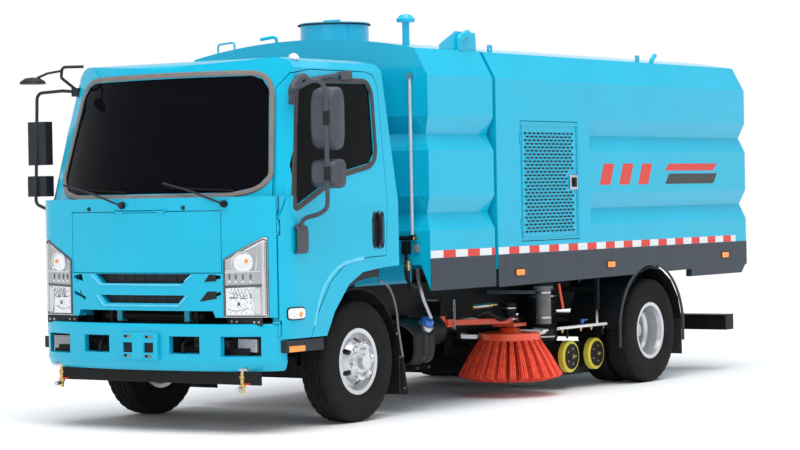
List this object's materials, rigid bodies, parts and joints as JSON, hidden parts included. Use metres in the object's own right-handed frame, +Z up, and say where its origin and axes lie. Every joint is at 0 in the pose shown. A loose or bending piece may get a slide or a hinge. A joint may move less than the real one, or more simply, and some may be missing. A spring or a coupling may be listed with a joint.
{
  "type": "street sweeper truck",
  "caption": "Cab-over street sweeper truck with water tank, tipping hopper, side brushes and suction nozzle.",
  "frame": {"origin": "on the ground under the middle of the truck's overall length and width", "axes": "+Z up, +Y to the rear, +X to the truck's left"},
  "size_m": [2.57, 6.603, 2.755],
  "materials": {
    "paint_blue": "gloss",
    "paint_dark_grey": "satin",
    "chassis_black": "satin",
    "engine_metal": "matte",
    "spring_steel": "matte",
    "wheel_silver": "satin",
    "tyre_rubber": "matte",
    "tinted_glass": "gloss",
    "lamp_clear": "gloss",
    "black_plastic": "matte",
    "inside_grey": "matte",
    "brush_red": "satin",
    "arm_orange": "gloss",
    "nozzle_yellow": "satin",
    "hose_rubber": "matte",
    "pipe_white": "satin",
    "steel_bright": "satin"
  },
  "bodies": {
    "chassis": {"chassis_frame": "chassis_black", "front_axle": "spring_steel", "rear_axle": "spring_steel", "leaf_springs": "spring_steel", "engine_block": "engine_metal", "driveline": "engine_metal", "front_bumper": "paint_blue", "mudguards": "black_plastic", "side_tanks": "black_plastic", "battery_box": "chassis_black", "silencer": "chassis_black", "underrun_guard": "chassis_black", "chassis_lamps": "lamp_clear", "water_tank": "paint_blue", "tank_fittings": "paint_blue", "tank_skirts": "paint_dark_grey", "brush_brackets": "arm_orange", "suction_line": "hose_rubber", "spray_bars": "pipe_white"},
    "cab": {"cab_shell": "paint_blue", "cab_glass": "tinted_glass", "grille_mesh": "black_plastic", "headlamps": "lamp_clear", "cab_trim": "black_plastic", "cab_inside": "inside_grey"},
    "front_lid": {"front_lid": "paint_blue"},
    "tank_lid": {"tank_lid": "paint_blue"},
    "hopper": {"hopper_shell": "paint_blue", "hopper_skirts": "paint_dark_grey"},
    "tailgate": {"tailgate": "paint_blue"},
    "ram_barrel": {"ram_barrel": "steel_bright"},
    "ram_rod": {"ram_rod": "steel_bright"},
    "tie_rod": {"tie_rod": "spring_steel"},
    "suction_nozzle": {"suction_nozzle": "paint_dark_grey"},
    "nozzle_wheels_front": {"nozzle_wheels_front": "nozzle_yellow"},
    "nozzle_wheels_rear": {"nozzle_wheels_rear": "nozzle_yellow"},
    "cab_door_left": {"cab_door_left": "paint_blue", "door_glass_left": "tinted_glass", "mirrors_left": "black_plastic"},
    "service_door_left": {"service_door_left": "paint_blue"},
    "knuckle_left": {"knuckle_left": "spring_steel"},
    "front_wheel_left": {"front_tyre_left": "tyre_rubber", "front_rim_left": "wheel_silver"},
    "rear_wheels_left": {"rear_tyres_left": "tyre_rubber", "rear_rims_left": "wheel_silver"},
    "brush_post_left": {"brush_post_left": "arm_orange"},
    "brush_arm_left": {"brush_arm_left": "arm_orange"},
    "side_brush_left": {"side_brush_left": "brush_red"},
    "cab_door_right": {"cab_door_right": "paint_blue", "door_glass_right": "tinted_glass", "mirrors_right": "black_plastic"},
    "service_door_right": {"service_door_right": "paint_blue"},
    "knuckle_right": {"knuckle_right": "spring_steel"},
    "front_wheel_right": {"front_tyre_right": "tyre_rubber", "front_rim_right": "wheel_silver"},
    "rear_wheels_right": {"rear_tyres_right": "tyre_rubber", "rear_rims_right": "wheel_silver"},
    "brush_post_right": {"brush_post_right": "arm_orange"},
    "brush_arm_right": {"brush_arm_right": "arm_orange"},
    "side_brush_right": {"side_brush_right": "brush_red"}
  },
  "joints": [
    {"name": "cab_tilt", "type": "hinge", "parent": "chassis", "child": "cab", "pos_m": [0, -3.11, 0.74], "axis": [1, 0, 0], "range_deg": [0, 45]},
    {"name": "front_lid_open", "type": "hinge", "parent": "cab", "child": "front_lid", "pos_m": [0, -3.258, 1.418], "axis": [-1, 0, 0], "range_deg": [0, 60]},
    {"name": "tank_lid_open", "type": "hinge", "parent": "chassis", "child": "tank_lid", "pos_m": [0, -0.785, 2.729], "axis": [-1, 0, 0], "range_deg": [0, 100]},
    {"name": "hopper_tip", "type": "hinge", "parent": "chassis", "child": "hopper", "pos_m": [0, 2.98, 0.9], "axis": [-1, 0, 0], "range_deg": [0, 45]},
    {"name": "tailgate_open", "type": "hinge", "parent": "hopper", "child": "tailgate", "pos_m": [0, 3.25, 2.44], "axis": [1, 0, 0], "range_deg": [0, 80]},
    {"name": "ram_swing", "type": "hinge", "parent": "chassis", "child": "ram_barrel", "pos_m": [0, 2.55, 0.42], "axis": [-1, 0, 0], "range_deg": [0, 16.07]},
    {"name": "ram_slide", "type": "slide", "parent": "ram_barrel", "child": "ram_rod", "axis": [0, -0.2019, 0.9794], "range_m": [0, 0.3681]},
    {"name": "steer_left", "type": "hinge", "parent": "chassis", "child": "knuckle_left", "pos_m": [0.7, -2.16, 0.4025], "axis": [0, 0, 1], "range_deg": [-35, 35]},
    {"name": "steer_right", "type": "hinge", "parent": "chassis", "child": "knuckle_right", "pos_m": [-0.7, -2.16, 0.4025], "axis": [0, 0, 1], "range_deg": [-35, 35]},
    {"name": "tie_rod_turn", "type": "hinge", "parent": "knuckle_left", "child": "tie_rod", "pos_m": [0.7, -1.985, 0.2775], "axis": [0, 0, 1], "range_deg": [-35, 35]},
    {"name": "cab_door_left_open", "type": "hinge", "parent": "cab", "child": "cab_door_left", "pos_m": [0.967, -3.068, 1], "axis": [0, 0, -1], "range_deg": [0, 70]},
    {"name": "service_door_left_open", "type": "hinge", "parent": "hopper", "child": "service_door_left", "pos_m": [1.058, -0.277, 1.58], "axis": [0, 0, -1], "range_deg": [0, 110]},
    {"name": "front_wheel_left_roll", "type": "hinge", "parent": "knuckle_left", "child": "front_wheel_left", "pos_m": [0.84, -2.16, 0.4025], "axis": [1, 0, 0], "continuous": true},
    {"name": "rear_wheels_left_roll", "type": "hinge", "parent": "chassis", "child": "rear_wheels_left", "pos_m": [0.825, 1.655, 0.4025], "axis": [1, 0, 0], "continuous": true},
    {"name": "brush_left_swing", "type": "hinge", "parent": "chassis", "child": "brush_post_left", "pos_m": [0.45, -0.44, 0.55], "axis": [0, 0, -1], "range_deg": [0, 35]},
    {"name": "brush_left_lower", "type": "hinge", "parent": "brush_post_left", "child": "brush_arm_left", "pos_m": [0.45, -0.35, 0.556], "axis": [-1, 0, 0], "range_deg": [0, 6]},
    {"name": "brush_left_spin", "type": "hinge", "parent": "brush_arm_left", "child": "side_brush_left", "pos_m": [0.7, 0.116, 0.45], "axis": [0, 0, 1], "continuous": true},
    {"name": "cab_door_right_open", "type": "hinge", "parent": "cab", "child": "cab_door_right", "pos_m": [-0.967, -3.068, 1], "axis": [0, 0, 1], "range_deg": [0, 70]},
    {"name": "service_door_right_open", "type": "hinge", "parent": "hopper", "child": "service_door_right", "pos_m": [-1.058, -0.277, 1.58], "axis": [0, 0, 1], "range_deg": [0, 110]},
    {"name": "front_wheel_right_roll", "type": "hinge", "parent": "knuckle_right", "child": "front_wheel_right", "pos_m": [-0.84, -2.16, 0.4025], "axis": [1, 0, 0], "continuous": true},
    {"name": "rear_wheels_right_roll", "type": "hinge", "parent": "chassis", "child": "rear_wheels_right", "pos_m": [-0.825, 1.655, 0.4025], "axis": [1, 0, 0], "continuous": true},
    {"name": "brush_right_swing", "type": "hinge", "parent": "chassis", "child": "brush_post_right", "pos_m": [-0.45, -0.44, 0.55], "axis": [0, 0, 1], "range_deg": [0, 35]},
    {"name": "brush_right_lower", "type": "hinge", "parent": "brush_post_right", "child": "brush_arm_right", "pos_m": [-0.45, -0.35, 0.556], "axis": [-1, 0, 0], "range_deg": [0, 6]},
    {"name": "brush_right_spin", "type": "hinge", "parent": "brush_arm_right", "child": "side_brush_right", "pos_m": [-0.7, 0.116, 0.45], "axis": [0, 0, 1], "continuous": true},
    {"name": "nozzle_lower", "type": "hinge", "parent": "chassis", "child": "suction_nozzle", "pos_m": [0, -0.06, 0.43], "axis": [-1, 0, 0], "range_deg": [0, 6.5]},
    {"name": "nozzle_front_roll", "type": "hinge", "parent": "suction_nozzle", "child": "nozzle_wheels_front", "pos_m": [0, 0.692, 0.255], "axis": [1, 0, 0], "continuous": true},
    {"name": "nozzle_rear_roll", "type": "hinge", "parent": "suction_nozzle", "child": "nozzle_wheels_rear", "pos_m": [0, 1.073, 0.255], "axis": [1, 0, 0], "continuous": true}
  ],
  "couplings": [
    {"joint": "ram_swing", "follows": "hopper_tip", "ratio": 0.34594},
    {"joint": "ram_slide", "follows": "hopper_tip", "m_per_rad": 0.46487},
    {"joint": "steer_right", "follows": "steer_left", "ratio": 1},
    {"joint": "tie_rod_turn", "follows": "steer_left", "ratio": -1}
  ]
}
